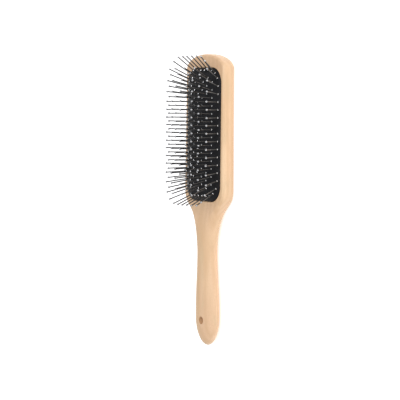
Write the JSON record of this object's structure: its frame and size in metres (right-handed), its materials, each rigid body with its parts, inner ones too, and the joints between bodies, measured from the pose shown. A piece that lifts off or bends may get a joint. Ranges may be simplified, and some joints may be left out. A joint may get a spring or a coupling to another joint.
{
  "type": "hairbrush",
  "caption": "Vanity hairbrush: a flat wooden paddle with a round handle and hang hole, a black domed rubber air cushion, and fanned steel pins with ball tips.",
  "frame": {"origin": "middle of the brush's length and width, on the flat back of the head, which is the lowest surface", "axes": "+X across the head, +Y along the brush from the handle to the head's end, +Z out of the pin face"},
  "size_m": [0.0606, 0.2424, 0.0373],
  "materials": {
    "pale_wood": "satin clear lacquer on pale close-grained wood",
    "black_rubber": "smooth satin black rubber",
    "polished_steel": "polished steel wire with ball tips"
  },
  "bodies": {
    "wooden_body": {"wooden_body": "pale_wood"},
    "cushion": {"rubber_cushion": "black_rubber"},
    "pin_column_1": {"pin_column_1_handle_end": "polished_steel", "pin_column_1_middle": "polished_steel", "pin_column_1_head_end": "polished_steel"},
    "pin_column_2": {"pin_column_2_handle_end": "polished_steel", "pin_column_2_middle": "polished_steel", "pin_column_2_head_end": "polished_steel"},
    "pin_column_3": {"pin_column_3_handle_end": "polished_steel", "pin_column_3_middle": "polished_steel", "pin_column_3_head_end": "polished_steel"},
    "pin_column_4": {"pin_column_4_handle_end": "polished_steel", "pin_column_4_middle": "polished_steel", "pin_column_4_head_end": "polished_steel"},
    "pin_column_5": {"pin_column_5_handle_end": "polished_steel", "pin_column_5_middle": "polished_steel", "pin_column_5_head_end": "polished_steel"},
    "pin_column_6": {"pin_column_6_handle_end": "polished_steel", "pin_column_6_middle": "polished_steel", "pin_column_6_head_end": "polished_steel"},
    "pin_column_7": {"pin_column_7_handle_end": "polished_steel", "pin_column_7_middle": "polished_steel", "pin_column_7_head_end": "polished_steel"},
    "pin_column_8": {"pin_column_8_handle_end": "polished_steel", "pin_column_8_middle": "polished_steel", "pin_column_8_head_end": "polished_steel"},
    "pin_column_9": {"pin_column_9_handle_end": "polished_steel", "pin_column_9_middle": "polished_steel", "pin_column_9_head_end": "polished_steel"}
  },
  "joints": [
    {"name": "cushion_press", "type": "slide", "parent": "wooden_body", "child": "cushion", "axis": [0, 0, -1], "range_m": [0, 0.003], "stiffness_N_per_m": 1500, "deforming": ["rubber_cushion"]},
    {"name": "pin_column_1_rock", "type": "hinge", "parent": "cushion", "child": "pin_column_1", "pos_m": [-0.02205, 0.0559, 0.0129], "axis": [0, 1, 0], "range_deg": [-10, 10], "stiffness_Nm_per_rad": 0.02},
    {"name": "pin_column_2_rock", "type": "hinge", "parent": "cushion", "child": "pin_column_2", "pos_m": [-0.01654, 0.0559, 0.01495], "axis": [0, 1, 0], "range_deg": [-10, 10], "stiffness_Nm_per_rad": 0.02},
    {"name": "pin_column_3_rock", "type": "hinge", "parent": "cushion", "child": "pin_column_3", "pos_m": [-0.01103, 0.0559, 0.01626], "axis": [0, 1, 0], "range_deg": [-10, 10], "stiffness_Nm_per_rad": 0.02},
    {"name": "pin_column_4_rock", "type": "hinge", "parent": "cushion", "child": "pin_column_4", "pos_m": [-0.00551, 0.0559, 0.01698], "axis": [0, 1, 0], "range_deg": [-10, 10], "stiffness_Nm_per_rad": 0.02},
    {"name": "pin_column_5_rock", "type": "hinge", "parent": "cushion", "child": "pin_column_5", "pos_m": [0, 0.0559, 0.0172], "axis": [0, 1, 0], "range_deg": [-10, 10], "stiffness_Nm_per_rad": 0.02},
    {"name": "pin_column_6_rock", "type": "hinge", "parent": "cushion", "child": "pin_column_6", "pos_m": [0.00551, 0.0559, 0.01698], "axis": [0, 1, 0], "range_deg": [-10, 10], "stiffness_Nm_per_rad": 0.02},
    {"name": "pin_column_7_rock", "type": "hinge", "parent": "cushion", "child": "pin_column_7", "pos_m": [0.01103, 0.0559, 0.01626], "axis": [0, 1, 0], "range_deg": [-10, 10], "stiffness_Nm_per_rad": 0.02},
    {"name": "pin_column_8_rock", "type": "hinge", "parent": "cushion", "child": "pin_column_8", "pos_m": [0.01654, 0.0559, 0.01495], "axis": [0, 1, 0], "range_deg": [-10, 10], "stiffness_Nm_per_rad": 0.02},
    {"name": "pin_column_9_rock", "type": "hinge", "parent": "cushion", "child": "pin_column_9", "pos_m": [0.02205, 0.0559, 0.0129], "axis": [0, 1, 0], "range_deg": [-10, 10], "stiffness_Nm_per_rad": 0.02}
  ]
}
